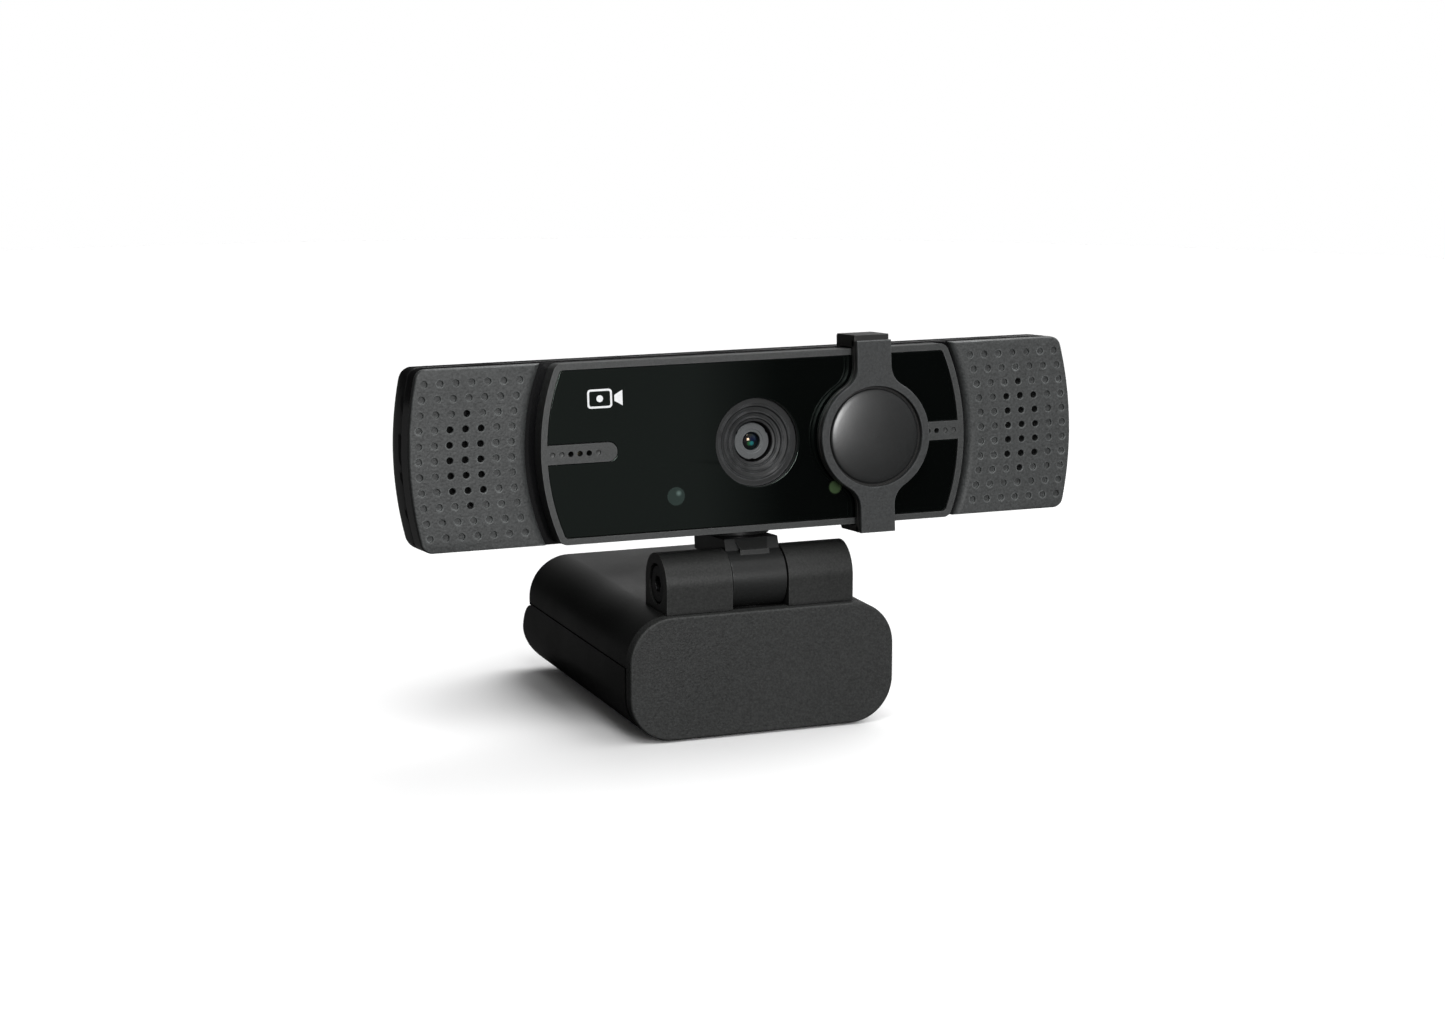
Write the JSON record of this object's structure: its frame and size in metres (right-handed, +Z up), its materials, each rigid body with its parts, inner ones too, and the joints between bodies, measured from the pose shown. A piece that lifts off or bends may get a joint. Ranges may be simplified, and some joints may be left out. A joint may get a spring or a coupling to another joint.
{
  "type": "webcam with folding screen clip",
  "caption": "Bar webcam with a stepped lens, dotted side panels and a sliding privacy cover, on a swivelling and tilting neck over a folding screen clip that also stands on a desk.",
  "frame": {"origin": "on the surface that the clip stands on, under the middle of the clip", "axes": "+X to the viewer's right along the bar, +Y to the back, +Z up"},
  "size_m": [0.125, 0.0647, 0.0702],
  "materials": {
    "clip_plastic": "satin black moulded ABS",
    "plate_plastic": "fine textured dark grey ABS",
    "rubber": "black silicone rubber",
    "brass": "turned and knurled brass",
    "steel": "zinc plated steel",
    "black_steel": "blackened steel",
    "shell_plastic": "gloss black moulded ABS",
    "rear_plastic": "satin black moulded ABS",
    "frame_plastic": "semi-gloss dark grey ABS",
    "grille_plastic": "fine textured dark grey ABS",
    "felt": "black felt",
    "front_glass": "black-backed polished glass",
    "hood_plastic": "dark grey moulded plastic",
    "barrel_plastic": "grey moulded plastic",
    "lens_glass": "coated optical glass",
    "chip": "black epoxy package",
    "circuit_board": "green solder mask on glass fibre",
    "socket_plastic": "ivory nylon",
    "clear_plastic": "clear polycarbonate",
    "cover_plastic": "fine textured dark grey ABS",
    "bracket_plastic": "semi-gloss black ABS",
    "disc_plastic": "satin grey ABS"
  },
  "bodies": {
    "foot": {"foot_shell": "clip_plastic", "foot_pad": "rubber", "tripod_insert": "brass", "foot_cover": "clip_plastic", "foot_grip": "rubber", "foot_screws": "steel", "hinge_pin": "steel", "hinge_washers": "steel"},
    "arm": {"arm_shell": "clip_plastic", "arm_cover": "clip_plastic", "arm_grip": "rubber", "arm_screws": "steel", "front_plate": "plate_plastic", "plate_screws": "steel", "lip_pad": "rubber", "tilt_bolt": "black_steel", "tilt_nut": "black_steel", "tilt_washers": "steel"},
    "neck": {"neck": "clip_plastic", "swivel_disc": "clip_plastic", "swivel_stud": "steel", "swivel_washer": "steel", "swivel_nut": "steel"},
    "head": {"front_shell": "shell_plastic", "rear_cover": "rear_plastic", "case_screws": "black_steel", "cable_gland": "rubber", "grille_left": "grille_plastic", "grille_right": "grille_plastic", "grille_cloths": "felt", "centre_frame": "frame_plastic", "front_glass": "front_glass", "lens_hood": "hood_plastic", "lens_barrel": "barrel_plastic", "front_lens": "lens_glass", "rear_lens": "lens_glass", "lens_spacer": "hood_plastic", "lens_holder": "hood_plastic", "infrared_filter": "lens_glass", "image_sensor": "chip", "main_board": "circuit_board", "board_screws": "steel", "image_processor": "chip", "memory_chip": "chip", "cable_socket": "socket_plastic", "board_capacitors": "chip", "light_pipe": "clear_plastic", "status_led": "clear_plastic", "sensor_window": "clear_plastic", "light_sensor": "chip", "mic_gaskets": "rubber", "mic_capsules": "steel", "mic_boards": "circuit_board"},
    "privacy_cover": {"cover_plate": "cover_plastic", "cover_bracket": "bracket_plastic", "cover_disc": "disc_plastic", "cover_pad": "felt"}
  },
  "joints": [
    {"name": "clip_hinge", "type": "hinge", "parent": "foot", "child": "arm", "pos_m": [0, 0.02625, 0.0068], "axis": [-1, 0, 0], "range_deg": [0, 95]},
    {"name": "tilt", "type": "hinge", "parent": "arm", "child": "neck", "pos_m": [0, -0.0237, 0.0272], "axis": [-1, 0, 0], "range_deg": [-30, 17.5]},
    {"name": "swivel", "type": "hinge", "parent": "neck", "child": "head", "pos_m": [0, -0.01612, 0.0266], "axis": [0, 0.0793, 0.9968], "range_deg": [-180, 180]},
    {"name": "cover_slide", "type": "slide", "parent": "head", "child": "privacy_cover", "axis": [-1, 0, 0], "range_m": [0, 0.0214]}
  ]
}
